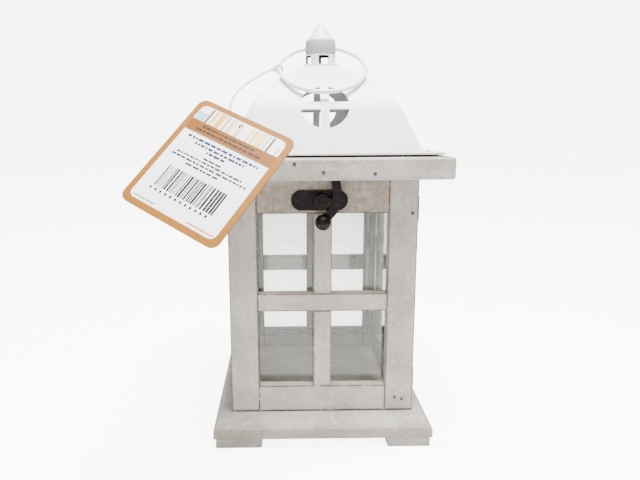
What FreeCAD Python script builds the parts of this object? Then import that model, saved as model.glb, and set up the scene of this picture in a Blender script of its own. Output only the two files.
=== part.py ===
import FreeCAD, Part
import math
import os

# Candle lantern: glazed wooden case on a moulded plinth, sheet-metal bell roof with a ring handle.
# Millimetres. Origin at the middle of the footprint on the floor, front faces -Y, +Z up.

# base
foot_sizes = {"rear_right": 25.5, "rear_left": 25.5, "front_left": 25.5, "front_right": 23.6}
foot_height = 5.8
foot_inset = 1.3
foot_corner = 1.6
plinth_half = 60.0
plinth_corner = 1.2
plinth_band = 4.2
plinth_step = 0.6
floor_rise = 3.4
floor_play = 0.5
ovolo_width = 9.2
ovolo_height = 6.4
ovolo_steps = 8

# glazed case
case_half = 50.0
wall = 8.6
case_height = 129.8
stile_width = 15.2
side_stile_width = 8.0
bar_width = 9.6
bottom_rail = 15.1
cross_bar_low = 58.2
top_rail = 18.4
door_gap_low = 0.6
door_gap_high = 0.8
door_gap_rear = 0.4
pane_thickness = 2.0
pane_lap = 3.0
pane_play = 0.15

# cornice
cornice_half = 65.0
cornice_height = 11.0
cornice_corner = 3.0
cornice_round = 1.4
heat_hole_radius = 34.0

# roof, which sits a little to the right of the case
roof_shift = 1.6
sheet = 0.8
flange_half = 59.6
flange_lift = 1.2
bell_profile = [(49.2, 1.1), (48.3, 5.0), (47.0, 8.6), (45.5, 12.0), (43.9, 15.4), (42.4, 18.8),
                (40.8, 22.2), (38.7, 26.0), (35.7, 30.2), (31.9, 34.3), (27.5, 38.0), (22.6, 41.4),
                (17.2, 44.6), (12.2, 47.3), (9.0, 48.9)]
vent_radius = 13.0
vent_bar = 4.4
vent_height = 25.6
vent_reach = 37.9
vent_tilt = 32.0
vent_cut_depth = 8.0
hip_gap = 0.02

# roof top
crown_half = 9.3
crown_hole = 5.5
collar_radius = 8.7
collar_wall = 1.1
collar_height = 5.6
collar_slot = 5.8
collar_slot_height = 5.0
collar_slots = 5
collar_slot_turn = 9.6
band_radius = 8.3
band_wall = 1.1
band_height = 7.6
band_bulge = 0.5
cap_base_radius = 6.9
cap_height = 10.9
cap_tip_radius = 0.5
cap_rim_height = 0.8
cap_shoulder_height = 1.4

# ring handle
ring_wire = 1.2
ring_radius = 23.7
ring_pass = 8.0
ring_hole = 1.95
ring_droop = 34.6

# latch on the door
latch_x = -0.9
latch_z = 134.8
plate_x = -1.8
plate_z = 135.4
plate_half_length = 14.8
plate_half_height = 5.3
plate_thickness = 0.8
screw_reach = 11.6
screw_head = 1.2
screw_head_height = 0.4
screw_slot = 0.3
screw_slot_depth = 0.2
screw_shank = 0.6
screw_depth = 4.0
hole_room = 0.2
rivet_shank = 1.6
rivet_head = 2.85
rivet_head_back = 1.2
rivet_head_sink = 0.3
rivet_play = 0.06
hub_radius = 3.9
hub_recess = 3.2
hub_recess_depth = 1.5
hub_front = 5.0
hub_gap = 0.15
arm_back = 2.8
arm_thickness = 1.8
arm_half_width = 2.3
arm_line = [(6.1, 145.9), (6.9, 141.2), (7.1, 136.6), (6.1, 132.3), (3.7, 128.8), (0.2, 126.0)]
web_half_height = 1.9
web_right = 8.0
ball_radius = 4.15
ball_x = -0.3
ball_z = 124.6
ball_reach = 6.0
keeper_thickness = 0.5
keeper_length = 14.6
keeper_front = 7.0
keeper_rear = 1.0
keeper_nail_line = 4.0
keeper_nail_reaches = [1.6, 13.0]

# hinges
hinge_x = 51.3
hinge_radius = 0.95
hinge_pin_radius = 0.45
hinge_play = 0.05
hinge_height = 12.0
hinge_gap = 0.35
leaf_thickness = 0.5
leaf_length = 7.0
knuckle_gap = 0.1
hinge_levels = [33.0, 130.0]

# nails
nail_head = 0.9
nail_head_height = 0.25
nail_shank = 0.45
nail_depth = 6.0
nail_play = 0.02
nail_end_gap = 0.2
door_nails = [(40.2, 24.9), (44.2, 23.8), (46.9, 128.1)]
cornice_nails = [(-0.8, 150.8), (-15.0, 155.0), (24.6, 150.0)]
flange_nail_spread = 40.0
flange_nail_reach = 55.0

# tag and string
tag_corner = (-57.4, -72.9, 186.5)
tag_across = (0.8221, -0.4291, -0.3742)
tag_down = (-0.5569, -0.4696, -0.6851)
tag_width = 52.5
tag_height = 61.4
tag_thickness = 0.7
tag_round = 4.2
tag_hole = (25.7, 5.1)
tag_hole_radius = 1.1
string_radius = 0.6
string_route = [(-25.1, -18.4, 204.2), (-27.0, -24.6, 203.1), (-30.4, -31.0, 200.9), (-35.0, -38.5, 197.7),
                (-38.8, -48.0, 194.3), (-41.4, -57.0, 191.5), (-43.5, -66.0, 188.0), (-44.9, -73.6, 183.9),
                (-44.3, -79.0, 178.4), (-41.9, -82.3, 174.9), (-38.8, -84.8, 172.0)]
bend_share = 0.45
knot_radius = 1.4

# how far a cutting shape reaches past what it cuts
cut_room = 10.0

# levels worked out from the sizes above
plinth_height = plinth_band + ovolo_height + plinth_step
case_floor = foot_height + plinth_height
case_top = case_floor + case_height
cornice_top = case_top + cornice_height
inner_half = case_half - wall
door_back = -inner_half
door_floor = case_floor + door_gap_low
door_top = case_top - door_gap_high
crown_top = cornice_top + bell_profile[-1][1] + sheet
collar_top = crown_top + collar_height
band_top = collar_top + band_height
ring_axis_z = collar_top + band_height / 2
ring_offset = math.sqrt(ring_radius ** 2 - ring_pass ** 2)
hinge_y = door_back + door_gap_rear / 2
up = FreeCAD.Vector(0, 0, 1)
origin = FreeCAD.Vector(0, 0, 0)


def vec(x, y, z):
    return FreeCAD.Vector(x, y, z)


def box(x0, y0, z0, x1, y1, z1):
    return Part.makeBox(x1 - x0, y1 - y0, z1 - z0, vec(x0, y0, z0))


def cylinder(radius, start, end):
    line = end - start
    return Part.makeCylinder(radius, line.Length, start, line)


def turned(shape, degrees):
    copy = shape.copy()
    copy.rotate(origin, up, degrees)
    return copy


def smooth_edge(points):
    curve = Part.BSplineCurve()
    curve.interpolate(points)
    return curve.toShape()


def closed_face(edges):
    return Part.Face(Part.Wire(Part.__sortEdges__(edges)))


def save(name, shape):
    shape.exportStep("parts/" + name + ".step")


# ---- base

def foot(size):
    half = plinth_half - foot_inset
    near = half - size
    block = box(near, near, 0, half, half, foot_height)
    inner = [e for e in block.Edges if e.BoundBox.ZMax < foot_corner and faces_inward(e, near)]
    return block.makeFillet(foot_corner, inner)


def faces_inward(edge, near):
    limit = near + foot_corner
    return edge.BoundBox.XMax < limit or edge.BoundBox.YMax < limit


def plinth():
    board = box(-plinth_half, -plinth_half, foot_height, plinth_half, plinth_half, case_floor)
    upright = [e for e in board.Edges if e.BoundBox.ZLength > plinth_band]
    board = board.makeFillet(plinth_corner, upright)
    for quarter in range(4):
        board = board.cut(turned(plinth_cutter(), 90 * quarter))
    inside = inner_half - floor_play
    floor = box(-inside, -inside, case_floor, inside, inside, case_floor + floor_rise)
    return board.fuse(floor).removeSplitter()


def plinth_cutter():
    # waste outside the ovolo along the front edge
    reach = plinth_half + cut_room
    high = case_floor + cut_room
    low = foot_height + plinth_band
    bottom = plinth_half - plinth_step
    top = bottom - ovolo_width
    points = []
    for step in range(ovolo_steps + 1):
        angle = math.pi / 2 * step / ovolo_steps
        y = -(top + ovolo_width * math.sin(angle))
        z = low + plinth_step + ovolo_height * math.cos(angle)
        points.append(vec(-reach, y, z))
    curve = smooth_edge(points)
    corners = [points[-1], vec(-reach, -bottom, low), vec(-reach, -reach, low)]
    corners += [vec(-reach, -reach, high), vec(-reach, -top, high), points[0]]
    edges = [Part.makeLine(a, b) for a, b in zip(corners[:-1], corners[1:])]
    return closed_face(edges + [curve]).extrude(vec(2 * reach, 0, 0))


# ---- glazed panels, drawn with the outer face at y = 0 and the inner face at y = wall

def panel_members(half, low, high, stile):
    rail_low = case_floor + bottom_rail
    rail_high = case_top - top_rail
    bar_low = case_floor + cross_bar_low
    inside = half - stile
    bar = bar_width / 2
    bar_high = bar_low + bar_width
    middle = wall / 2
    cross = box(-inside, 0, bar_low, inside, wall, bar_high)
    cross = cross.cut(box(-bar, middle, bar_low, bar, wall, bar_high))
    upright = box(-bar, 0, rail_low, bar, wall, rail_high)
    upright = upright.cut(box(-bar, 0, bar_low, bar, middle, bar_high))
    return {
        "stile_left": box(-half, 0, low, -inside, wall, high),
        "stile_right": box(inside, 0, low, half, wall, high),
        "top_rail": box(-inside, 0, rail_high, inside, wall, high),
        "bottom_rail": box(-inside, 0, low, inside, wall, rail_low),
        "cross_bar": cross,
        "upright_bar": upright,
    }


def pane_box(half, stile, play):
    side = half - stile + pane_lap + play
    low = case_floor + bottom_rail - pane_lap - play
    high = case_top - top_rail + pane_lap + play
    return box(-side, wall - pane_thickness - play, low, side, wall, high)


def glazed_panel(half, low, high, stile):
    members = panel_members(half, low, high, stile)
    rebate = pane_box(half, stile, pane_play)
    parts = {name: solid.cut(rebate) for name, solid in members.items()}
    parts["pane"] = pane_box(half, stile, 0)
    return parts


def stand(parts, degrees, out):
    # move a drawn panel to its side of the case
    placed = {}
    for name, solid in parts.items():
        copy = solid.copy()
        copy.translate(vec(0, -out, 0))
        placed[name] = turned(copy, degrees)
    return placed


def door_parts():
    parts = stand(glazed_panel(case_half, door_floor, door_top, stile_width), 0, case_half)
    for x, z in door_nails:
        hole = cylinder(nail_shank + nail_play, vec(x, -case_half, z), vec(x, nail_depth - case_half, z))
        parts["stile_right"] = parts["stile_right"].cut(hole)
    for x in screw_places():
        parts["top_rail"] = parts["top_rail"].cut(screw_hole(x))
    parts["top_rail"] = parts["top_rail"].cut(rivet_hole())
    return parts


def case_sides():
    rear = glazed_panel(case_half, case_floor, case_top, stile_width)
    side_half = inner_half - door_gap_rear / 2
    side = glazed_panel(side_half, case_floor, case_top, side_stile_width)
    slid = {}
    for name, solid in side.items():
        copy = solid.copy()
        copy.translate(vec(-door_gap_rear / 2, 0, 0))
        slid[name] = copy
    mirrored = {name: solid.mirror(origin, vec(1, 0, 0)) for name, solid in slid.items()}
    return {
        "rear": stand(rear, 180, case_half),
        "left": stand(mirrored, 270, case_half),
        "right": stand(slid, 90, case_half),
    }


# ---- cornice

def cornice():
    board = box(-cornice_half, -cornice_half, case_top, cornice_half, cornice_half, cornice_top)
    upright = [e for e in board.Edges if e.BoundBox.ZLength > cornice_height / 2]
    board = board.makeFillet(cornice_corner, upright)
    flat = [e for e in board.Edges if e.BoundBox.ZLength < cornice_height / 2]
    board = board.makeFillet(cornice_round, flat)
    board = board.cut(cylinder(heat_hole_radius, vec(0, 0, case_top), vec(0, 0, cornice_top)))
    for x, z in cornice_nails:
        board = board.cut(front_bore(x, z, cornice_half))
    for start, inward in flange_nail_places():
        board = board.cut(cylinder(nail_shank + nail_play, start, start + inward))
    for start in keeper_nail_places():
        board = board.cut(keeper_bore(start))
    return board


def front_bore(x, z, face):
    return cylinder(nail_shank + nail_play, vec(x, -face, z), vec(x, nail_depth - face, z))


# ---- roof

def bell_section():
    # front wall of the bell with its nailing flange, in the plane x = 0
    outer = [vec(0, -half, cornice_top + level) for half, level in bell_profile]
    inner = []
    for here in range(len(outer)):
        before = outer[max(here - 1, 0)]
        after = outer[min(here + 1, len(outer) - 1)]
        run = (after - before).normalize()
        inner.append(outer[here] + vec(0, run.z, -run.y) * sheet)
    rim_top = vec(0, -flange_half, cornice_top + sheet + flange_lift)
    rim_low = vec(0, -flange_half, cornice_top + flange_lift)
    heel = vec(0, inner[0].y, cornice_top)
    toe = vec(0, outer[0].y, cornice_top)
    corners = [outer[0], rim_top, rim_low, toe, heel, inner[0]]
    edges = [Part.makeLine(a, b) for a, b in zip(corners[:-1], corners[1:])]
    edges.append(Part.makeLine(inner[-1], outer[-1]))
    return closed_face(edges + [smooth_edge(outer), smooth_edge(inner)])


def roof_face():
    reach = flange_half + cut_room
    strip = bell_section()
    strip.translate(vec(-reach, 0, 0))
    wall_solid = strip.extrude(vec(2 * reach, 0, 0))
    wedge = [vec(0, -hip_gap, 0), vec(-reach, -reach - hip_gap, 0), vec(reach, -reach - hip_gap, 0)]
    wedge = [point + vec(0, 0, case_top) for point in wedge]
    rise = crown_top - case_top + cut_room
    prism = Part.Face(Part.makePolygon(wedge + [wedge[0]])).extrude(vec(0, 0, rise))
    return wall_solid.common(prism).cut(vent_cutter())


def vent_cutter():
    # four quarter openings of a round vent, square to the slope
    centre = vec(0, -vent_reach, cornice_top + vent_height)
    depth = vent_cut_depth
    disc = Part.makeCylinder(vent_radius, 2 * depth, vec(0, 0, -depth), up)
    bar = vent_bar / 2
    long_bar = box(-vent_radius, -bar, -depth, vent_radius, bar, depth)
    disc = disc.cut(long_bar).cut(turned(long_bar, 90))
    disc.rotate(origin, vec(1, 0, 0), 90 - vent_tilt)
    disc.translate(centre)
    return disc


def flange_nail_places():
    places = []
    for quarter in range(4):
        for side in (-1, 1):
            spot = FreeCAD.Rotation(up, 90 * quarter).multVec(
                vec(side * flange_nail_spread, -flange_nail_reach, cornice_top))
            places.append((spot + vec(roof_shift, 0, 0), vec(0, 0, -nail_depth)))
    return places


def on_roof(shape):
    # move a shape drawn about the origin onto the roof's own axis
    copy = shape.copy()
    copy.translate(vec(roof_shift, 0, 0))
    return copy


def drilled_roof_face(degrees):
    face = on_roof(turned(roof_face(), degrees))
    for start, inward in flange_nail_places():
        face = face.cut(cylinder(nail_shank + nail_play, start, start - inward))
    return face


def crown():
    low = crown_top - sheet
    plate = box(-crown_half, -crown_half, low, crown_half, crown_half, crown_top)
    return plate.cut(cylinder(crown_hole, vec(0, 0, low), vec(0, 0, crown_top)))


def collar():
    tube = cylinder(collar_radius, vec(0, 0, crown_top), vec(0, 0, collar_top))
    tube = tube.cut(cylinder(collar_radius - collar_wall, vec(0, 0, crown_top), vec(0, 0, collar_top)))
    slot = collar_slot / 2
    reach = 2 * collar_radius
    cutter = box(-slot, -reach, crown_top, slot, 0, crown_top + collar_slot_height)
    for index in range(collar_slots):
        tube = tube.cut(turned(cutter, collar_slot_turn + 360 * index / collar_slots))
    return tube


def barrel_band():
    middle = vec(band_radius + band_bulge, 0, ring_axis_z)
    low = vec(band_radius, 0, collar_top)
    high = vec(band_radius, 0, band_top)
    inside = band_radius - band_wall
    side = Part.Arc(low, middle, high).toShape()
    corners = [high, vec(inside, 0, band_top), vec(inside, 0, collar_top), low]
    edges = [Part.makeLine(a, b) for a, b in zip(corners[:-1], corners[1:])]
    band = closed_face(edges + [side]).revolve(origin, up, 360)
    across = vec(2 * band_radius, 0, 0)
    centre = vec(0, 0, ring_axis_z)
    return Part.Solid(band).cut(cylinder(ring_hole, centre - across, centre + across))


def finial_cap():
    tip = band_top + cap_height
    corners = [vec(0, 0, band_top), vec(band_radius, 0, band_top)]
    corners.append(vec(band_radius, 0, band_top + cap_rim_height))
    corners.append(vec(cap_base_radius, 0, band_top + cap_shoulder_height))
    corners += [vec(cap_tip_radius, 0, tip), vec(0, 0, tip)]
    outline = Part.makePolygon(corners + [corners[0]])
    return Part.Solid(Part.Face(outline).revolve(origin, up, 360))


def ring_handle():
    ring = Part.makeTorus(ring_radius, ring_wire)
    ring.translate(vec(0, -ring_offset, 0))
    ring.rotate(origin, vec(1, 0, 0), ring_droop)
    ring.translate(vec(0, 0, ring_axis_z))
    return ring


# ---- latch

def latch_plate():
    face_y = -case_half
    reach = plate_half_length - plate_half_height
    centre = vec(plate_x, face_y, plate_z)
    out = vec(0, -plate_thickness, 0)
    plate = box(-reach, -plate_thickness, -plate_half_height, reach, 0, plate_half_height)
    plate.translate(centre)
    for side in (-reach, reach):
        end = centre + vec(side, 0, 0)
        plate = plate.fuse(cylinder(plate_half_height, end, end + out))
    plate = plate.removeSplitter()
    for x in screw_places():
        start = vec(x, face_y, plate_z)
        plate = plate.cut(cylinder(screw_shank + nail_play, start, start + out))
    return plate.cut(cylinder(rivet_shank + nail_play, latch_point(0), latch_point(plate_thickness)))


def screw_places():
    return (plate_x - screw_reach, plate_x + screw_reach)


def latch_point(out):
    return vec(latch_x, -case_half - out, latch_z)


def screw_hole(x):
    start = vec(x, -case_half, plate_z)
    return cylinder(screw_shank + nail_play, start, start + vec(0, screw_depth, 0))


def rivet_hole():
    return cylinder(rivet_shank + nail_play, latch_point(0), latch_point(-screw_depth))


def latch_screws():
    screws = []
    for x in screw_places():
        face = vec(x, -case_half - plate_thickness, plate_z)
        front = face.y - screw_head_height
        head = cylinder(screw_head, face, vec(x, front, plate_z))
        shank = cylinder(screw_shank, face, vec(x, screw_depth - case_half - hole_room, plate_z))
        low = plate_z - screw_slot / 2
        high = plate_z + screw_slot / 2
        slot = box(x - screw_head, front, low, x + screw_head, front + screw_slot_depth, high)
        screws.append(head.fuse(shank).cut(slot).removeSplitter())
    return Part.makeCompound(screws)


def latch_rivet():
    head_back = hub_front - rivet_head_back
    shank = cylinder(rivet_shank, latch_point(hole_room - screw_depth), latch_point(head_back))
    head = cylinder(rivet_head, latch_point(head_back), latch_point(hub_front - rivet_head_sink))
    return shank.fuse(head).removeSplitter()


def arm_strip():
    # flat bent bar that runs from the top edge round the pivot to the ball
    left = []
    right = []
    for here in range(len(arm_line)):
        x0, z0 = arm_line[max(here - 1, 0)]
        x1, z1 = arm_line[min(here + 1, len(arm_line) - 1)]
        run = vec(x1 - x0, 0, z1 - z0).normalize()
        side = vec(run.z, 0, -run.x) * arm_half_width
        middle = vec(arm_line[here][0], -case_half - arm_back, arm_line[here][1])
        left.append(middle + side)
        right.append(middle - side)
    edges = [smooth_edge(left), smooth_edge(right)]
    edges.append(Part.makeLine(left[0], right[0]))
    edges.append(Part.makeLine(left[-1], right[-1]))
    strip = closed_face(edges).extrude(vec(0, -arm_thickness, 0))
    top = arm_line[0][1]
    ceiling = box(-case_half, -2 * case_half, top, case_half, 0, top + arm_half_width)
    return strip.cut(ceiling)


def latch_arm():
    hub = cylinder(hub_radius, latch_point(plate_thickness + hub_gap), latch_point(hub_front))
    back = -case_half - arm_back
    low = latch_z - web_half_height
    high = latch_z + web_half_height
    web = box(latch_x, back - arm_thickness, low, web_right, back, high)
    arm = arm_strip().fuse(hub).fuse(web)
    arm = arm.cut(cylinder(rivet_shank + rivet_play, latch_point(0), latch_point(hub_front)))
    recess = cylinder(hub_recess, latch_point(hub_front - hub_recess_depth), latch_point(hub_front))
    return arm.cut(recess).removeSplitter()


def latch_ball():
    centre = vec(ball_x, -case_half - ball_reach, ball_z)
    return Part.makeSphere(ball_radius, centre).cut(arm_strip())


def keeper_nail_places():
    # points on the keeper's lower face
    line = -case_half - keeper_nail_line
    low = case_top - keeper_thickness
    return [vec(latch_x + reach, line, low) for reach in keeper_nail_reaches]


def keeper_bore(start):
    return cylinder(nail_shank + nail_play, start, start + vec(0, 0, nail_depth))


def keeper():
    low = case_top - keeper_thickness
    right = latch_x + keeper_length
    plate = box(latch_x, -case_half - keeper_front, low, right, -case_half - keeper_rear, case_top)
    for start in keeper_nail_places():
        plate = plate.cut(keeper_bore(start))
    return plate


# ---- hinges

def hinge_spans(level):
    third = hinge_height / 3
    low = level - hinge_height / 2
    return [(low, low + third), (low + third, low + 2 * third), (low + 2 * third, low + 3 * third)]


def hinge_leaf(level, spans, toward):
    # toward is -1 for the door's leaf and +1 for the leaf on the case
    near = hinge_y + toward * (hinge_radius + hinge_gap)
    far = near + toward * leaf_length
    low = level - hinge_height / 2
    high = low + hinge_height
    face = case_half + leaf_thickness
    leaf = box(case_half, min(near, far), low, face, max(near, far), high)
    for bottom, top in spans:
        z0 = bottom + knuckle_gap
        z1 = top - knuckle_gap
        barrel = cylinder(hinge_radius, vec(hinge_x, hinge_y, z0), vec(hinge_x, hinge_y, z1))
        tab = box(case_half, min(near, hinge_y), z0, face, max(near, hinge_y), z1)
        leaf = leaf.fuse(barrel).fuse(tab)
    play = hinge_play if toward < 0 else 0.0
    bore = cylinder(hinge_pin_radius + play, vec(hinge_x, hinge_y, low), vec(hinge_x, hinge_y, high))
    return leaf.cut(bore).removeSplitter()


def hinge_pin(level):
    low = level - hinge_height / 2
    return cylinder(hinge_pin_radius, vec(hinge_x, hinge_y, low), vec(hinge_x, hinge_y, low + hinge_height))


# ---- nails

def nail(face, inward):
    direction = vec(inward.x, inward.y, inward.z).normalize()
    head = cylinder(nail_head, face, face - direction * nail_head_height)
    shank = cylinder(nail_shank, face, face + inward - direction * nail_end_gap)
    return head.fuse(shank).removeSplitter()


def case_nails():
    into = vec(0, nail_depth, 0)
    nails = [nail(vec(x, -cornice_half, z), into) for x, z in cornice_nails]
    for start, inward in flange_nail_places():
        top = start + vec(0, 0, flange_sheet_top())
        nails.append(nail(top, inward - vec(0, 0, flange_sheet_top())))
    for start in keeper_nail_places():
        nails.append(nail(start, vec(0, 0, nail_depth)))
    return Part.makeCompound(nails)


def flange_sheet_top():
    # height of the sloping flange over the cornice at the nail's outer edge
    inner_half_width, inner_level = bell_profile[0]
    share = (flange_nail_reach + nail_head - inner_half_width) / (flange_half - inner_half_width)
    return inner_level + share * (sheet + flange_lift - inner_level)


def door_brads():
    into = vec(0, nail_depth, 0)
    return Part.makeCompound([nail(vec(x, -case_half, z), into) for x, z in door_nails])


# ---- tag and string

def tag_point(across, down, out):
    across_dir = vec(*tag_across).normalize()
    normal = across_dir.cross(vec(*tag_down)).normalize()
    down_dir = normal.cross(across_dir)
    return vec(*tag_corner) + across_dir * across + down_dir * down + normal * out


def tag():
    corners = [tag_point(0, 0, 0), tag_point(tag_width, 0, 0), tag_point(tag_width, tag_height, 0)]
    corners.append(tag_point(0, tag_height, 0))
    normal = tag_point(0, 0, tag_thickness) - tag_point(0, 0, 0)
    card = Part.Face(Part.makePolygon(corners + [corners[0]])).extrude(normal)
    corner_edges = [e for e in card.Edges if e.Length < tag_round]
    card = card.makeFillet(tag_round, corner_edges)
    hole = tag_point(tag_hole[0], tag_hole[1], 0)
    return card.cut(cylinder(tag_hole_radius, hole, hole + normal))


def bend(before, corner, after):
    # tangent arc round one corner of the route: start, middle, end and radius
    back = before - corner
    on = after - corner
    turn = math.pi - back.getAngle(on)
    trim = bend_share * min(back.Length, on.Length)
    radius = trim / math.tan(turn / 2)
    back_dir = back.normalize()
    on_dir = on.normalize()
    start = corner + back_dir * trim
    end = corner + on_dir * trim
    inward = (back_dir + on_dir).normalize()
    middle = corner + inward * (radius / math.cos(turn / 2) - radius)
    return start, middle, end, radius


def string():
    points = [vec(*p) for p in string_route]
    edges = []
    here = points[0]
    for before, corner, after in zip(points[:-2], points[1:-1], points[2:]):
        start, middle, end, radius = bend(before, corner, after)
        edges.append(Part.makeLine(here, start))
        edges.append(Part.Arc(start, middle, end).toShape())
        print("string bend radius", round(radius, 2))
        here = end
    edges.append(Part.makeLine(here, points[-1]))
    wire = Part.Wire(edges)
    print("string length", round(wire.Length, 2))
    circle = Part.Wire(Part.makeCircle(string_radius, points[0], points[1] - points[0]))
    return wire.makePipeShell([circle], True, True)


def string_knots():
    # one knot at the ring and one behind the tag's hole
    line = string()
    ends = [vec(*string_route[0]), vec(*string_route[-1])]
    return Part.makeCompound([Part.makeSphere(knot_radius, end).cut(line) for end in ends])


def main():
    os.makedirs("parts", exist_ok=True)
    for quarter, name in enumerate(foot_sizes):
        save("foot_" + name, turned(foot(foot_sizes[name]), 90 * quarter))
    save("plinth", plinth())
    for name, solid in door_parts().items():
        save("door_" + name, solid)
    for side, members in case_sides().items():
        for name, solid in members.items():
            save(side + "_" + name, solid)
    save("cornice", cornice())
    for degrees, name in ((0, "front"), (90, "right"), (180, "rear"), (270, "left")):
        save("roof_" + name, drilled_roof_face(degrees))
    save("roof_crown", on_roof(crown()))
    save("collar", on_roof(collar()))
    save("barrel_band", on_roof(barrel_band()))
    save("finial_cap", on_roof(finial_cap()))
    save("ring_handle", on_roof(ring_handle()))
    save("latch_plate", latch_plate())
    save("latch_screws", latch_screws())
    save("latch_rivet", latch_rivet())
    save("latch_arm", latch_arm())
    save("latch_ball", latch_ball())
    save("keeper", keeper())
    for level, name in zip(hinge_levels, ("lower", "upper")):
        spans = hinge_spans(level)
        save("hinge_case_" + name, hinge_leaf(level, [spans[0], spans[2]], 1))
        save("hinge_door_" + name, hinge_leaf(level, [spans[1]], -1))
        save("hinge_pin_" + name, hinge_pin(level))
    save("case_nails", case_nails())
    save("door_brads", door_brads())
    save("string", string())
    save("string_knots", string_knots())
    save("tag", tag())


main()
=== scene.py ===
import math
import random
import bmesh
import bpy
from mathutils import Matrix, Vector


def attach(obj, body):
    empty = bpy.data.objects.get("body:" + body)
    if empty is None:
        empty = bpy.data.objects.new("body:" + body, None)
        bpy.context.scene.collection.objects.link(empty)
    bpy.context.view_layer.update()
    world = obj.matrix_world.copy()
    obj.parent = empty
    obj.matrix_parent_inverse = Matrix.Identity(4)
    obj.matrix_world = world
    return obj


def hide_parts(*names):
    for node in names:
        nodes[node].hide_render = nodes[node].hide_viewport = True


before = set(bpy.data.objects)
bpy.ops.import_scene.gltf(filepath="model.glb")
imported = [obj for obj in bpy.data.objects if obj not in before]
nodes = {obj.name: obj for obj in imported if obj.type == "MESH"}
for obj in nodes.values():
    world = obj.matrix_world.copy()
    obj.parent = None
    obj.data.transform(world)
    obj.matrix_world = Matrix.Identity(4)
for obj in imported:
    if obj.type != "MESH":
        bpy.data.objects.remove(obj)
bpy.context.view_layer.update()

perMetre = 1000  # the tables below are in millimetres, unless they say otherwise
print("frame loaded", len(nodes))


# small helpers for shader nodes

def plug(tree, value, socket):  # a number or a colour is set, and anything else is linked
    if isinstance(value, (int, float)):
        socket.default_value = value
    elif isinstance(value, tuple):
        socket.default_value = (*value, 1)
    else:
        tree.links.new(value, socket)


def addNode(tree, kind, values=None, **settings):
    node = tree.nodes.new(kind)
    for key, value in settings.items():
        setattr(node, key, value)
    for key, value in (values or {}).items():
        node.inputs[key].default_value = value
    return node


def mathNode(tree, operation, a, b, clamp=False):
    node = addNode(tree, "ShaderNodeMath", operation=operation, use_clamp=clamp)
    plug(tree, a, node.inputs[0])
    plug(tree, b, node.inputs[1])
    return node.outputs[0]


def mixColor(tree, factor, a, b, blend="MIX", clamp=False):
    node = addNode(tree, "ShaderNodeMix", data_type="RGBA", blend_type=blend, clamp_result=clamp)
    for slot, value in ((0, factor), (6, a), (7, b)):  # the colour sockets of the node
        plug(tree, value, node.inputs[slot])
    return node.outputs[2]


def noiseNode(tree, vector, scale, detail, roughness):
    node = addNode(tree, "ShaderNodeTexNoise", {"Scale": scale, "Detail": detail, "Roughness": roughness})
    tree.links.new(vector, node.inputs["Vector"])
    return node.outputs["Fac"]


def rampNode(tree, factor, low, high):  # 0 below low, 1 above high
    node = addNode(tree, "ShaderNodeMapRange", {"From Min": low, "From Max": high}, clamp=True)
    tree.links.new(factor, node.inputs["Value"])
    return node.outputs["Result"]


def layerColor(tree, under, noise, low, high, amount, over):  # a colour where the noise is high
    cover = mathNode(tree, "MULTIPLY", rampNode(tree, noise, low, high), amount)
    return mixColor(tree, cover, under, over)


def spreadRoughness(tree, noise, spread, least):
    return mathNode(tree, "ADD", mathNode(tree, "MULTIPLY", noise, spread), least)


def objectCoords(tree, stretch=(1, 1, 1), shift=(0, 0, 0)):  # in millimetres, squeezed along a grain
    coords = addNode(tree, "ShaderNodeTexCoord")
    scale = [perMetre * share for share in stretch]
    mapping = addNode(tree, "ShaderNodeMapping", {"Scale": scale, "Location": shift})
    tree.links.new(coords.outputs["Object"], mapping.inputs["Vector"])
    return mapping.outputs["Vector"]


def bumpNode(tree, height, strength, depth):
    node = addNode(tree, "ShaderNodeBump", {"Strength": strength, "Distance": depth})
    tree.links.new(height, node.inputs["Height"])
    return node.outputs["Normal"]


def newMaterial(name, **values):
    material = bpy.data.materials.new(name)
    material.use_nodes = True
    shader = material.node_tree.nodes["Principled BSDF"]
    for key, value in values.items():
        shader.inputs[key.replace("_", " ")].default_value = value
    return material, material.node_tree, shader


def newGroup(name, inputs, outputs):
    tree = bpy.data.node_groups.new(name, "ShaderNodeTree")
    for label, kind in inputs.items():
        tree.interface.new_socket(label, in_out="INPUT", socket_type="NodeSocket" + kind)
    for label, kind in outputs.items():
        tree.interface.new_socket(label, in_out="OUTPUT", socket_type="NodeSocket" + kind)
    return tree, addNode(tree, "NodeGroupInput").outputs, addNode(tree, "NodeGroupOutput").inputs


def placeGroup(tree, group, values):
    node = addNode(tree, "ShaderNodeGroup", node_tree=group)
    for key, value in values.items():
        plug(tree, value, node.inputs[key])
    return node.outputs


def wireLook(tree, shader, look, bump):  # a finish's colour, roughness and relief
    tree.links.new(look["Color"], shader.inputs["Base Color"])
    tree.links.new(look["Roughness"], shader.inputs["Roughness"])
    tree.links.new(bumpNode(tree, look["Height"], *bump), shader.inputs["Normal"])


def paint(nodeName, material):
    piece = nodes[nodeName]
    if not piece.material_slots:
        piece.data.materials.append(material)
    for slot in piece.material_slots:
        slot.material = material


edgeTurn = {"starts": 0.006, "full": 0.06, "samples": 6}  # how far a rounded edge has to turn to be worn
finish = {"Color": "Color", "Roughness": "Float", "Height": "Float"}  # what each finish group puts out


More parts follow.
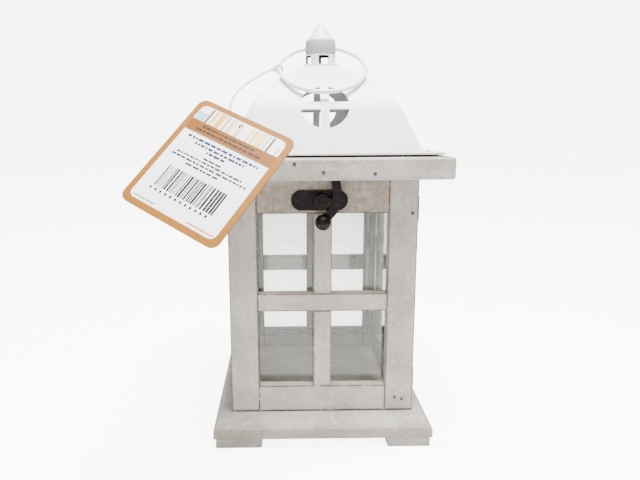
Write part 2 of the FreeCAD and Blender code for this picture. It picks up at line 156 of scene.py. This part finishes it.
def edgeGroup():  # 1 near outer edges, where the rounded normal leaves the flat one
    tree, given, result = newGroup("edgeWear", {"Radius": "Float"}, {"Mask": "Float"})
    rounded = addNode(tree, "ShaderNodeBevel", samples=edgeTurn["samples"])
    tree.links.new(given["Radius"], rounded.inputs["Radius"])
    flat = addNode(tree, "ShaderNodeNewGeometry")
    product = addNode(tree, "ShaderNodeVectorMath", operation="DOT_PRODUCT")
    tree.links.new(rounded.outputs["Normal"], product.inputs[0])
    tree.links.new(flat.outputs["True Normal"], product.inputs[1])
    turned = mathNode(tree, "SUBTRACT", 1.0, product.outputs["Value"])
    tree.links.new(rampNode(tree, turned, edgeTurn["starts"], edgeTurn["full"]), result["Mask"])
    return tree


edgeTree = edgeGroup()


def edgeMask(tree, radius):  # radius in metres
    return placeGroup(tree, edgeTree, {"Radius": radius})["Mask"]


# camera, in metres and degrees

view = {"place": (-0.02051, -0.35521, 0.17424), "turn": 0.337, "down": 11.087, "roll": -0.434,
        "lens": 33.22, "sensor": 36, "shift": 0.0512, "nearest": 0.01}
turn, down, roll = (math.radians(view[key]) for key in ("turn", "down", "roll"))
forward = Vector((math.sin(turn) * math.cos(down), math.cos(turn) * math.cos(down), -math.sin(down)))
level = Vector((math.cos(turn), -math.sin(turn), 0))
upward = level.cross(forward)
cameraX = level * math.cos(roll) + upward * math.sin(roll)
cameraY = upward * math.cos(roll) - level * math.sin(roll)
camera = bpy.data.objects.new("camera", bpy.data.cameras.new("camera"))
bpy.context.scene.collection.objects.link(camera)
camera.data.lens = view["lens"]
camera.data.sensor_width = view["sensor"]
camera.data.clip_start = view["nearest"]
camera.data.shift_x = view["shift"]
turnMatrix = Matrix((cameraX, cameraY, -forward)).transposed().to_4x4()
camera.matrix_world = Matrix.Translation(view["place"]) @ turnMatrix
bpy.context.scene.camera = camera
print("camera set")


# the tag's string, with its hitch on the ring

cordLook = {"color": (0.63, 0.57, 0.47), "brighter": 1.45, "bump": (0.8, 0.0003),
            "diameter": 0.0012, "length": 0.0805, "roundness": 4, "smoothness": 12}  # in metres
route = [(-25.1, -18.4, 204.2), (-27.0, -24.6, 203.1), (-30.4, -31.0, 200.9), (-35.0, -38.5, 197.7),
         (-38.8, -48.0, 194.3), (-41.4, -57.0, 191.5), (-43.5, -66.0, 188.0), (-44.9, -73.6, 183.9),
         (-44.3, -79.0, 178.4), (-41.9, -82.3, 174.9), (-38.8, -84.8, 172.0)]
hitchLook = {"wire": (-22.1, -18.4, 204.2), "turns": 2, "steps": 43, "reach": 1.75, "width": 1.8,
             "lean": (0.82, 0.56), "thickness": 1.0}  # turns round the ring's wire at its left side


def curveObject(name, points, radius, material):  # radius in metres
    curve = bpy.data.curves.new(name, "CURVE")
    curve.dimensions = "3D"
    curve.bevel_depth = radius
    curve.bevel_resolution = cordLook["roundness"]
    curve.resolution_u = cordLook["smoothness"]
    curve.use_fill_caps = True
    spline = curve.splines.new("NURBS")
    spline.points.add(len(points) - 1)
    for target, point in zip(spline.points, points):
        target.co = (*[axis / perMetre for axis in point], 1)
    spline.order_u = 3
    spline.use_endpoint_u = True
    curve.materials.append(material)
    piece = bpy.data.objects.new(name, curve)
    bpy.context.scene.collection.objects.link(piece)
    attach(piece, "tag_line")
    return piece


def hempMaterial():
    material, tree, shader = newMaterial("hempString", Roughness=0.85)
    fibre = noiseNode(tree, objectCoords(tree, (1.6, 0.9, 0.9)), 2.2, 4, 0.6)
    bright = tuple(min(1, part * cordLook["brighter"]) for part in cordLook["color"])
    tree.links.new(mixColor(tree, fibre, cordLook["color"], bright), shader.inputs["Base Color"])
    tree.links.new(bumpNode(tree, fibre, *cordLook["bump"]), shader.inputs["Normal"])
    return material


def hitchPoints():
    points = []
    for step in range(hitchLook["steps"] + 1):
        share = step / hitchLook["steps"]
        angle = math.pi * (1 + 2 * hitchLook["turns"] * share)
        along = hitchLook["width"] * (share - 0.5)
        offset = (hitchLook["reach"] * math.cos(angle), along * hitchLook["lean"][0],
                  along * hitchLook["lean"][1] + hitchLook["reach"] * math.sin(angle))
        points.append(Vector(hitchLook["wire"]) + Vector(offset))
    return points


hemp = hempMaterial()
cordPiece = curveObject("tagString", route, cordLook["diameter"] / 2, hemp)
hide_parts("string")
curveObject("ringHitch", hitchPoints(), hitchLook["thickness"] / 2 / perMetre, hemp)
paint("string_knots", hemp)
print("string made")


# painted wood with worn edges

woodLook = {"paint": (0.425, 0.39, 0.352), "shade": (0.34, 0.307, 0.267), "light": (0.565, 0.535, 0.497),
            "dark": (0.27, 0.24, 0.205), "speck": (0.16, 0.11, 0.075), "stainAndShade": (0.18, 0.135, 0.09),
            "bare": (0.065, 0.024, 0.008), "wear": 1.2, "baseWear": 0.25, "gloss": 0.3,
            "bump": (0.4, 0.0003),  # strength, and depth in metres
            # painted shade on the top rail, under the cornice and round the latch plate
            "latchShade": {"place": (0, -50, 142), "reach": 48, "strength": 3.0},
            "band": {"top": 9.8, "stainAndShade": 0.6}}
woodEdge = {"wornWidth": 0.0013, "rounding": {"foot": 0.0006, "plinth": 0.0005}, "otherRounding": 0.0004,
            "segments": 2, "angle": 50}  # in metres and degrees
woodNoise = {  # what it follows, scale, detail, roughness
    "fibre": ("Coordinates", 1.5, 5, 0.65), "streak": ("Coordinates", 0.45, 3, 0.6),
    "patch": ("Place", 0.055, 3, 0.55), "mottle": ("Place", 0.3, 4, 0.7),
    "speck": ("Place", 0.75, 2, 0.5), "chips": ("Place", 0.21, 5, 0.75)}
woodLayers = [  # noise, where it starts and is full, how much, colour
    ("patch", 0.40, 0.62, 1.0, "shade"), ("mottle", 0.52, 0.66, 0.55, "light"),
    ("fibre", 0.54, 0.72, 0.45, "dark"), ("streak", 0.60, 0.72, 0.40, "light"),
    ("speck", 0.72, 0.78, 0.75, "speck")]


def woodGroup():
    tree, given, result = newGroup(
        "paintedWoodLook",
        {"Coordinates": "Vector", "Place": "Vector", "Edge": "Float", "Wear": "Float", "Stain And Shade": "Float"},
        finish)
    noise = {name: noiseNode(tree, given[where], *recipe) for name, (where, *recipe) in woodNoise.items()}
    color = woodLook["paint"]
    for name, low, high, amount, over in woodLayers:
        color = layerColor(tree, color, noise[name], low, high, amount, woodLook[over])
    # stain on the plinth's lower band, and painted shade on the top rail round the latch
    stainedAndShaded = mathNode(tree, "MULTIPLY", given["Stain And Shade"], rampNode(tree, noise["mottle"], 0.25, 0.6))
    color = mixColor(tree, mathNode(tree, "MULTIPLY", stainedAndShaded, 0.85), color, woodLook["stainAndShade"])
    chipped = mathNode(tree, "MULTIPLY", given["Edge"], rampNode(tree, noise["chips"], 0.38, 0.45))
    worn = mathNode(tree, "MULTIPLY", chipped, given["Wear"], True)
    tree.links.new(mixColor(tree, worn, color, woodLook["bare"]), result["Color"])
    tree.links.new(spreadRoughness(tree, noise["mottle"], 0.25, 0.5), result["Roughness"])
    relief = mathNode(tree, "ADD", noise["fibre"], mathNode(tree, "MULTIPLY", noise["mottle"], 0.8))
    tree.links.new(mathNode(tree, "SUBTRACT", relief, worn), result["Height"])
    return tree


def latchShade(tree, mark):  # painted shade mask: 1 near a point of the object, 0 beyond the reach
    distance = addNode(tree, "ShaderNodeVectorMath", {1: mark["place"]}, operation="DISTANCE")
    tree.links.new(objectCoords(tree), distance.inputs[0])
    share = mathNode(tree, "DIVIDE", distance.outputs["Value"], mark["reach"])
    return mathNode(tree, "MULTIPLY", mathNode(tree, "SUBTRACT", 1.0, share, True), mark["strength"], True)


def bandStain(tree, band):  # under a height only
    axes = addNode(tree, "ShaderNodeSeparateXYZ")
    tree.links.new(objectCoords(tree), axes.inputs[0])
    below = rampNode(tree, mathNode(tree, "SUBTRACT", band["top"], axes.outputs["Z"]), -0.3, 0.3)
    return mathNode(tree, "MULTIPLY", below, band["stainAndShade"])


def woodMaterial(nodeName, stretch, shift):
    material, tree, shader = newMaterial("wood_" + nodeName, Specular_IOR_Level=woodLook["gloss"])
    wear = woodLook["baseWear"] if nodeName.startswith(("plinth", "foot")) else woodLook["wear"]
    stainAndShade = 0.0
    if nodeName == "door_top_rail":  # painted shade under the cornice and round the latch plate
        stainAndShade = latchShade(tree, woodLook["latchShade"])
    elif nodeName == "plinth":  # yellowed lower band
        stainAndShade = bandStain(tree, woodLook["band"])
    look = placeGroup(tree, woodTree, {
        "Coordinates": objectCoords(tree, stretch, shift), "Place": objectCoords(tree),
        "Edge": edgeMask(tree, woodEdge["wornWidth"]), "Wear": wear, "Stain And Shade": stainAndShade})
    wireLook(tree, shader, look, woodLook["bump"])
    return material


def roundEdges(piece, width):
    rounding = piece.modifiers.new("softEdge", "BEVEL")
    rounding.width = width
    rounding.segments = woodEdge["segments"]
    rounding.limit_method = "ANGLE"
    rounding.angle_limit = math.radians(woodEdge["angle"])


woodTree = woodGroup()
grains = {"x": (0.07, 1, 1), "y": (1, 0.07, 1), "z": (1, 1, 0.07)}
grainStep = (37.0, 19.0, 11.0)  # moves the grain on from board to board
woodIndex = 0
for nodeName in sorted(nodes):
    side, _, part = nodeName.partition("_")
    if side in ("door", "rear", "left", "right") and part not in ("pane", "brads"):
        lying = "x" if side in ("door", "rear") else "y"
        grain = lying if ("rail" in part or "cross" in part) else "z"
    elif side in ("foot", "plinth", "cornice"):
        grain = "x"
    else:
        continue
    woodIndex += 1
    shift = tuple(woodIndex * step for step in grainStep)
    paint(nodeName, woodMaterial(nodeName, grains[grain], shift))
    if side != "cornice":
        roundEdges(nodes[nodeName], woodEdge["rounding"].get(side, woodEdge["otherRounding"]))
print("wood painted", woodIndex)


# white sheet metal

# the band colour is the white paint greyed down: painted shade of the barrel band's rounded side
metalLook = {"paint": (0.87, 0.87, 0.88), "band": (0.36, 0.35, 0.375), "inside": (0.012, 0.011, 0.012),
             "shade": (0.8, 0.8, 0.8), "dirt": (0.4, 0.38, 0.36), "chip": (0.3, 0.28, 0.27),
             "roughness": 0.28, "wornWidth": 0.0004, "bump": (0.12, 0.002), "axis": (1.6, 0, 0)}
# near-black painted shade inside the crown, collar and band, within a radius in millimetres
shadedInsides = {"roof_crown": ("paint", 7.4), "collar": ("paint", 8.2), "barrel_band": ("band", 7.6)}


def sheetGroup():
    tree, given, result = newGroup(
        "paintedSheetLook", {"Coordinates": "Vector", "Color": "Color", "Edge": "Float"}, finish)
    cloud = noiseNode(tree, given["Coordinates"], 0.06, 4, 0.6)
    fine = noiseNode(tree, given["Coordinates"], 0.6, 3, 0.5)
    chips = rampNode(tree, noiseNode(tree, given["Coordinates"], 0.5, 3, 0.6), 0.55, 0.62)
    shaded = mathNode(tree, "MULTIPLY", rampNode(tree, cloud, 0.5, 0.8), 0.5)
    color = mixColor(tree, shaded, given["Color"], metalLook["shade"], "MULTIPLY")
    color = layerColor(tree, color, fine, 0.72, 0.8, 0.5, metalLook["dirt"])
    worn = mathNode(tree, "MULTIPLY", mathNode(tree, "MULTIPLY", given["Edge"], chips), 0.5)
    tree.links.new(mixColor(tree, worn, color, metalLook["chip"]), result["Color"])
    tree.links.new(spreadRoughness(tree, cloud, 0.2, metalLook["roughness"]), result["Roughness"])
    relief = mathNode(tree, "ADD", cloud, mathNode(tree, "MULTIPLY", fine, 0.1))
    tree.links.new(relief, result["Height"])
    return tree


def withinRadius(tree, radius):  # 1 near the upright axis of the collar
    flat = addNode(tree, "ShaderNodeVectorMath", {1: (1, 1, 0)}, operation="MULTIPLY")
    tree.links.new(objectCoords(tree), flat.inputs[0])
    distance = addNode(tree, "ShaderNodeVectorMath", {1: metalLook["axis"]}, operation="DISTANCE")
    tree.links.new(flat.outputs[0], distance.inputs[0])
    return rampNode(tree, mathNode(tree, "SUBTRACT", radius, distance.outputs["Value"]), -0.05, 0.05)


def sheetMaterial(name, color, shadeRadius=None):
    material, tree, shader = newMaterial(name, Coat_Weight=0.15, Coat_Roughness=0.2)
    look = placeGroup(tree, sheetTree, {
        "Coordinates": objectCoords(tree), "Color": color, "Edge": edgeMask(tree, metalLook["wornWidth"])})
    wireLook(tree, shader, look, metalLook["bump"])
    if shadeRadius:  # painted shade inside, near black
        dark = mixColor(tree, withinRadius(tree, shadeRadius), look["Color"], metalLook["inside"])
        tree.links.new(dark, shader.inputs["Base Color"])
    return material


sheetTree = sheetGroup()
sheetWhite = sheetMaterial("sheetWhite", metalLook["paint"])
for nodeName in ("roof_front", "roof_rear", "roof_left", "roof_right", "ring_handle", "finial_cap"):
    paint(nodeName, sheetWhite)
for nodeName, (color, radius) in shadedInsides.items():
    paint(nodeName, sheetMaterial("sheet_" + nodeName, metalLook[color], radius))
print("metal painted")


# glass panes

glassLook = {"tint": (0.948, 0.963, 0.93), "smear": 0.97, "shadow": (0.95, 0.972, 0.955, 1), "bend": 1.48}


def paneMaterial():
    material, tree, shader = newMaterial("paneGlass", IOR=glassLook["bend"], Transmission_Weight=1.0)
    smear = noiseNode(tree, objectCoords(tree), 0.05, 4, 0.6)
    smeared = tuple(part * glassLook["smear"] for part in glassLook["tint"])
    tree.links.new(mixColor(tree, smear, glassLook["tint"], smeared), shader.inputs["Base Color"])
    dull = mathNode(tree, "MULTIPLY", rampNode(tree, smear, 0.55, 0.8), 0.03)
    tree.links.new(dull, shader.inputs["Roughness"])
    clear = addNode(tree, "ShaderNodeBsdfTransparent", {"Color": glassLook["shadow"]})
    path = addNode(tree, "ShaderNodeLightPath")
    mix = addNode(tree, "ShaderNodeMixShader")
    tree.links.new(path.outputs["Is Shadow Ray"], mix.inputs[0])
    tree.links.new(shader.outputs[0], mix.inputs[1])
    tree.links.new(clear.outputs[0], mix.inputs[2])
    tree.links.new(mix.outputs[0], tree.nodes["Material Output"].inputs["Surface"])
    return material


paneGlass = paneMaterial()
for side in ("door", "rear", "left", "right"):
    paint(side + "_pane", paneGlass)
print("glass set")


# bronze latch, steel hinges and nails

bronzeLook = {"dark": (0.006, 0.005, 0.005), "warm": (0.024, 0.014, 0.011), "worn": (0.09, 0.068, 0.05),
              "wornWidth": 0.0004, "bump": (0.25, 0.0002)}
steelLook = {"hingeSteel": ((0.38, 0.36, 0.33), (0.6, 0.58, 0.54)),
             "nailSteel": ((0.06, 0.05, 0.042), (0.16, 0.14, 0.12))}
steelBump = (0.2, 0.0002)


def bronzeMaterial():
    material, tree, shader = newMaterial("agedBronze", Metallic=0.75)
    vector = objectCoords(tree)
    cloud = noiseNode(tree, vector, 0.35, 4, 0.65)
    grit = noiseNode(tree, vector, 2.5, 3, 0.6)
    color = layerColor(tree, bronzeLook["dark"], cloud, 0.48, 0.72, 1.0, bronzeLook["warm"])
    rubbed = mathNode(tree, "MULTIPLY", rampNode(tree, grit, 0.4, 0.6), 0.6)
    worn = mathNode(tree, "MULTIPLY", edgeMask(tree, bronzeLook["wornWidth"]), rubbed)
    color = mixColor(tree, worn, color, bronzeLook["worn"])
    wireLook(tree, shader, {"Color": color, "Roughness": spreadRoughness(tree, cloud, 0.3, 0.25),
                            "Height": grit}, bronzeLook["bump"])
    return material


def steelGroup():
    tree, given, result = newGroup(
        "dullSteelLook", {"Coordinates": "Vector", "Dark": "Color", "Pale": "Color"}, finish)
    cloud = noiseNode(tree, given["Coordinates"], 0.8, 4, 0.6)
    tree.links.new(mixColor(tree, cloud, given["Dark"], given["Pale"]), result["Color"])
    tree.links.new(spreadRoughness(tree, cloud, 0.3, 0.35), result["Roughness"])
    tree.links.new(cloud, result["Height"])
    return tree


def steelMaterial(name):
    material, tree, shader = newMaterial(name, Metallic=0.9)
    dark, pale = steelLook[name]
    look = placeGroup(tree, steelTree, {"Coordinates": objectCoords(tree), "Dark": dark, "Pale": pale})
    wireLook(tree, shader, look, steelBump)
    return material


bronze = bronzeMaterial()
for nodeName in ("latch_plate", "latch_screws", "latch_rivet", "latch_arm", "latch_ball", "keeper"):
    paint(nodeName, bronze)
steelTree = steelGroup()
hingeSteel = steelMaterial("hingeSteel")
nailSteel = steelMaterial("nailSteel")
for nodeName in nodes:
    if nodeName.startswith("hinge_"):
        paint(nodeName, hingeSteel)
for nodeName in ("case_nails", "door_brads"):
    paint(nodeName, nailSteel)
print("hardware painted")


# hang tag: kraft card with a flat print of plain marks

tagFrame = {"corner": (-57.4, -72.9, 186.5), "across": (0.8221, -0.4291, -0.3742),
            "down": (-0.5569, -0.4696, -0.6851)}
cardBump = (0.15, 0.0001)
kraftLook = {"color": (0.255, 0.099, 0.009), "variation": 0.12, "roughness": 0.42}
printLook = {"variation": 0.05, "roughness": 0.27, "label": (3.0, 2.8, 49.4, 58.2), "corner": 3.0,
             "hole": (25.7, 5.1), "holeRadius": 1.25, "cornerSteps": 6, "holeSteps": 8, "seed": 7,
             "labelDepth": -0.03, "fieldDepth": -0.05, "markDepth": -0.07}
printColors = {"labelPaper": (0.92, 0.93, 0.93), "inkBlue": (0.30, 0.55, 0.64),
               "inkBrown": (0.15, 0.06, 0.015), "inkCream": (0.90, 0.66, 0.20),
               "inkOrange": (0.80, 0.36, 0.09), "inkTeal": (0.30, 0.40, 0.38),
               "inkOlive": (0.60, 0.50, 0.16), "inkBand": (0.20, 0.072, 0.006),
               "inkSlate": (0.02, 0.025, 0.07), "inkGrey": (0.035, 0.032, 0.04),
               "inkBlack": (0.015, 0.015, 0.018), "inkGreen": (0.06, 0.30, 0.16),
               "inkRed": (0.55, 0.10, 0.07)}
inkNames = list(printColors)
stripes = [  # left, right, top, ink
    (3.4, 8.7, 6.6, "inkBlue"), (9.0, 10.1, 3.2, "inkBrown"), (11.3, 12.8, 3.2, "inkOlive"),
    (13.9, 16.9, 3.2, "inkOrange"), (18.1, 19.4, 3.2, "inkTeal"), (20.6, 21.6, 3.2, "inkOrange"),
    (21.9, 23.0, 3.2, "inkCream"), (25.5, 26.9, 6.6, "inkOlive"), (31.4, 32.8, 3.2, "inkCream"),
    (33.8, 35.1, 3.2, "inkOlive"), (35.9, 37.7, 3.2, "inkCream"), (38.0, 39.0, 3.2, "inkOlive"),
    (39.2, 39.8, 3.2, "inkCream"), (40.5, 41.4, 3.2, "inkBlue"), (42.6, 43.7, 3.2, "inkBrown"),
    (47.2, 47.8, 6.6, "inkTeal")]
band = {"top": 11.3, "bottom": 17.5, "line": (17.6, 17.9)}
dashRows = [  # left, right, top, height, ink
    (10.0, 38.6, 12.8, 0.9, "inkBlack"), (7.6, 43.4, 15.0, 0.9, "inkBlack"),
    (7.0, 45.4, 19.5, 1.2, "inkSlate"), (12.5, 39.4, 21.7, 1.2, "inkSlate"),
    (20.5, 31.5, 23.8, 1.2, "inkSlate"),
    (21.0, 30.6, 27.0, 0.95, "inkGrey"), (7.6, 44.0, 28.8, 0.95, "inkGrey"),
    (6.2, 46.8, 30.7, 0.95, "inkGrey"), (15.6, 34.2, 32.7, 0.95, "inkGrey")]
dashes = {"shortest": 0.9, "longest": 3.4, "least": 0.8, "gaps": (0.35, 0.7)}
bars = {"left": 9.9, "right": 41.0, "top": 37.2, "bottom": 48.9, "widths": (0.4, 0.4, 0.65, 0.9, 1.1),
        "gaps": (0.3, 0.4, 0.5, 0.7)}
squares = {"count": 12, "left": 9.0, "pitch": 2.75, "width": 1.1, "top": 49.8, "bottom": 51.1}
footLines = [(5.0, 56.3, 17.0, 56.9, "inkGreen"), (34.5, 56.3, 48.2, 56.9, "inkRed")]
acrossDir = Vector(tagFrame["across"]).normalized()
backDir = acrossDir.cross(Vector(tagFrame["down"])).normalized()
downDir = backDir.cross(acrossDir)


def tagPoint(across, down, back):  # a point of the card, across, down and behind its face
    place = Vector(tagFrame["corner"]) + acrossDir * across + downDir * down + backDir * back
    return place / perMetre


def cardGroup():
    tree, given, result = newGroup(
        "cardLook",
        {"Coordinates": "Vector", "Color": "Color", "Variation": "Float", "Base Roughness": "Float"}, finish)
    fibre = noiseNode(tree, given["Coordinates"], 1.8, 4, 0.6)
    cloud = noiseNode(tree, given["Coordinates"], 0.12, 2, 0.5)
    double = mathNode(tree, "MULTIPLY", given["Variation"], 2)
    darker = mathNode(tree, "SUBTRACT", 1.0, double)
    color = mixColor(tree, mathNode(tree, "MULTIPLY", fibre, double), given["Color"], darker, "MULTIPLY")
    brighter = mixColor(tree, 1.0, given["Color"], (1.2, 1.2, 1.2), "MULTIPLY", True)
    color = mixColor(tree, mathNode(tree, "MULTIPLY", cloud, given["Variation"]), color, brighter)
    tree.links.new(color, result["Color"])
    tree.links.new(spreadRoughness(tree, fibre, 0.15, given["Base Roughness"]), result["Roughness"])
    tree.links.new(fibre, result["Height"])
    return tree


def cardMaterial(name, color, look):
    material, tree, shader = newMaterial(name, Specular_IOR_Level=0.15)
    finished = placeGroup(tree, cardTree, {
        "Coordinates": objectCoords(tree), "Color": color, "Variation": look["variation"],
        "Base Roughness": look["roughness"]})
    wireLook(tree, shader, finished, cardBump)
    return material


def roundedOutline(left, top, right, bottom, radius):
    outline = []
    steps = printLook["cornerSteps"]
    for across, down, start in ((right - radius, top + radius, -90), (right - radius, bottom - radius, 0),
                                (left + radius, bottom - radius, 90), (left + radius, top + radius, 180)):
        for step in range(steps + 1):
            angle = math.radians(start + 90 * step / steps)
            outline.append((across + radius * math.cos(angle), down + radius * math.sin(angle)))
    return outline


def labelHalf(side):  # half of the label, right of the string's hole for 1 or left of it for -1
    left, top, right, bottom = printLook["label"]
    outline = roundedOutline(left, top, right, bottom, printLook["corner"])
    across, down = printLook["hole"]
    radius = printLook["holeRadius"]
    cut = [(across, bottom)]
    for step in range(printLook["holeSteps"] + 1):
        angle = math.pi * (0.5 - step / printLook["holeSteps"])
        cut.append((across + side * radius * math.cos(angle), down + radius * math.sin(angle)))
    cut.append((across, top))
    half = len(outline) // 2
    return outline[:half] + cut if side > 0 else outline[half:] + cut[::-1]


def flatShape(bm, outline, depth, ink):
    face = bm.faces.new([bm.verts.new((across, down, depth)) for across, down in outline])
    face.material_index = inkNames.index(ink)


def flatBox(bm, left, top, right, bottom, depth, ink):
    flatShape(bm, [(left, top), (right, top), (right, bottom), (left, bottom)], depth, ink)


def dashRow(bm, rng, left, right, top, height, ink):  # a row of plain dashes in place of words
    here = left
    while here < right - dashes["least"]:
        length = min(rng.uniform(dashes["shortest"], dashes["longest"]), right - here)
        flatBox(bm, here, top, here + length, top + height, printLook["markDepth"], ink)
        here += length + rng.uniform(*dashes["gaps"])


def barField(bm, rng):  # plain bars of uneven width
    here = bars["left"]
    while here < bars["right"]:
        width = rng.choice(bars["widths"])
        flatBox(bm, here, bars["top"], here + width, bars["bottom"], printLook["markDepth"], "inkBlack")
        here += width + rng.choice(bars["gaps"])


def makePrint():
    rng = random.Random(printLook["seed"])
    bm = bmesh.new()
    left, _, right, _ = printLook["label"]
    field, mark = printLook["fieldDepth"], printLook["markDepth"]
    for side in (1, -1):
        flatShape(bm, labelHalf(side), printLook["labelDepth"], "labelPaper")
    for stripeLeft, stripeRight, top, ink in stripes:
        flatBox(bm, stripeLeft, top, stripeRight, band["top"], field, ink)
    flatBox(bm, left, band["top"], right, band["bottom"], field, "inkBand")
    flatBox(bm, left, band["line"][0], right, band["line"][1], field, "inkBrown")
    for row in dashRows:
        dashRow(bm, rng, *row)
    barField(bm, rng)
    for index in range(squares["count"]):
        here = squares["left"] + index * squares["pitch"]
        flatBox(bm, here, squares["top"], here + squares["width"], squares["bottom"], mark, "inkGrey")
    for lineLeft, top, lineRight, bottom, ink in footLines:
        flatBox(bm, lineLeft, top, lineRight, bottom, mark, ink)
    for vert in bm.verts:
        vert.co = tagPoint(*vert.co)
    bmesh.ops.recalc_face_normals(bm, faces=bm.faces)
    mesh = bpy.data.meshes.new("tagPrint")
    bm.to_mesh(mesh)
    bm.free()
    for name, color in printColors.items():
        mesh.materials.append(cardMaterial(name, color, printLook))
    piece = bpy.data.objects.new("tagPrint", mesh)
    bpy.context.scene.collection.objects.link(piece)
    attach(piece, "tag_line")
    return piece


cardTree = cardGroup()
paint("tag", cardMaterial("kraftCard", kraftLook["color"], kraftLook))
label = makePrint()
print("tag made")


# pale floor, bright backdrop and soft lamps, in metres and watts

stageLook = {"floor": 0.85, "floorVariation": 0.02, "floorSize": 6.0, "glow": 7.0, "backdrop": 7.3,
             "floorBehindGlass": 0.9, "behindGlass": 1.4, "fill": 0.36}
lamps = {"topLight": {"place": (0.08, -0.16, 1.05), "size": 0.6, "power": 53},
         "frontLight": {"place": (-0.45, -0.9, 0.55), "size": 0.6, "power": 3}}
lampAim = (0, 0, 0.12)


def seenStrength(tree, direct, behindGlass, other):  # bright where the eye looks, dimmer through glass
    path = addNode(tree, "ShaderNodeLightPath")
    unlit = mathNode(tree, "SUBTRACT", 1.0, path.outputs["Diffuse Depth"], True)
    through = mathNode(tree, "MULTIPLY", path.outputs["Is Transmission Ray"], unlit)
    first = mathNode(tree, "MULTIPLY", path.outputs["Is Camera Ray"], direct - other)
    second = mathNode(tree, "MULTIPLY", through, behindGlass - other)
    return mathNode(tree, "ADD", mathNode(tree, "ADD", first, second), other)


def stageFloor():
    bm = bmesh.new()
    bmesh.ops.create_grid(bm, x_segments=1, y_segments=1, size=stageLook["floorSize"])
    mesh = bpy.data.meshes.new("floor")
    bm.to_mesh(mesh)
    bm.free()
    floor = bpy.data.objects.new("floor", mesh)
    bpy.context.scene.collection.objects.link(floor)
    material, tree, shader = newMaterial("paleFloor", Roughness=0.9, Emission_Color=(1, 1, 1, 1))
    tone = noiseNode(tree, objectCoords(tree), 0.002, 2, 0.5)
    low, high = ((stageLook["floor"] + extra,) * 3 for extra in (0, stageLook["floorVariation"]))
    tree.links.new(mixColor(tree, tone, low, high), shader.inputs["Base Color"])
    strength = seenStrength(tree, stageLook["glow"], stageLook["floorBehindGlass"], 0.0)
    tree.links.new(strength, shader.inputs["Emission Strength"])
    mesh.materials.append(material)


def stageLamp(name, look):
    light = bpy.data.lights.new(name, "AREA")
    light.shape = "DISK"
    light.size = look["size"]
    light.energy = look["power"]
    lamp = bpy.data.objects.new(name, light)
    bpy.context.scene.collection.objects.link(lamp)
    lamp.location = look["place"]
    lamp.rotation_euler = (Vector(lampAim) - Vector(look["place"])).to_track_quat("-Z", "Y").to_euler()


stageFloor()
world = bpy.data.worlds.new("studio")
bpy.context.scene.world = world
world.use_nodes = True
background = world.node_tree.nodes["Background"]
background.inputs["Color"].default_value = (1, 1, 1, 1)
backdrop = seenStrength(world.node_tree, stageLook["backdrop"], stageLook["behindGlass"], stageLook["fill"])
world.node_tree.links.new(backdrop, background.inputs["Strength"])
for name, look in lamps.items():
    stageLamp(name, look)
print("stage lit")
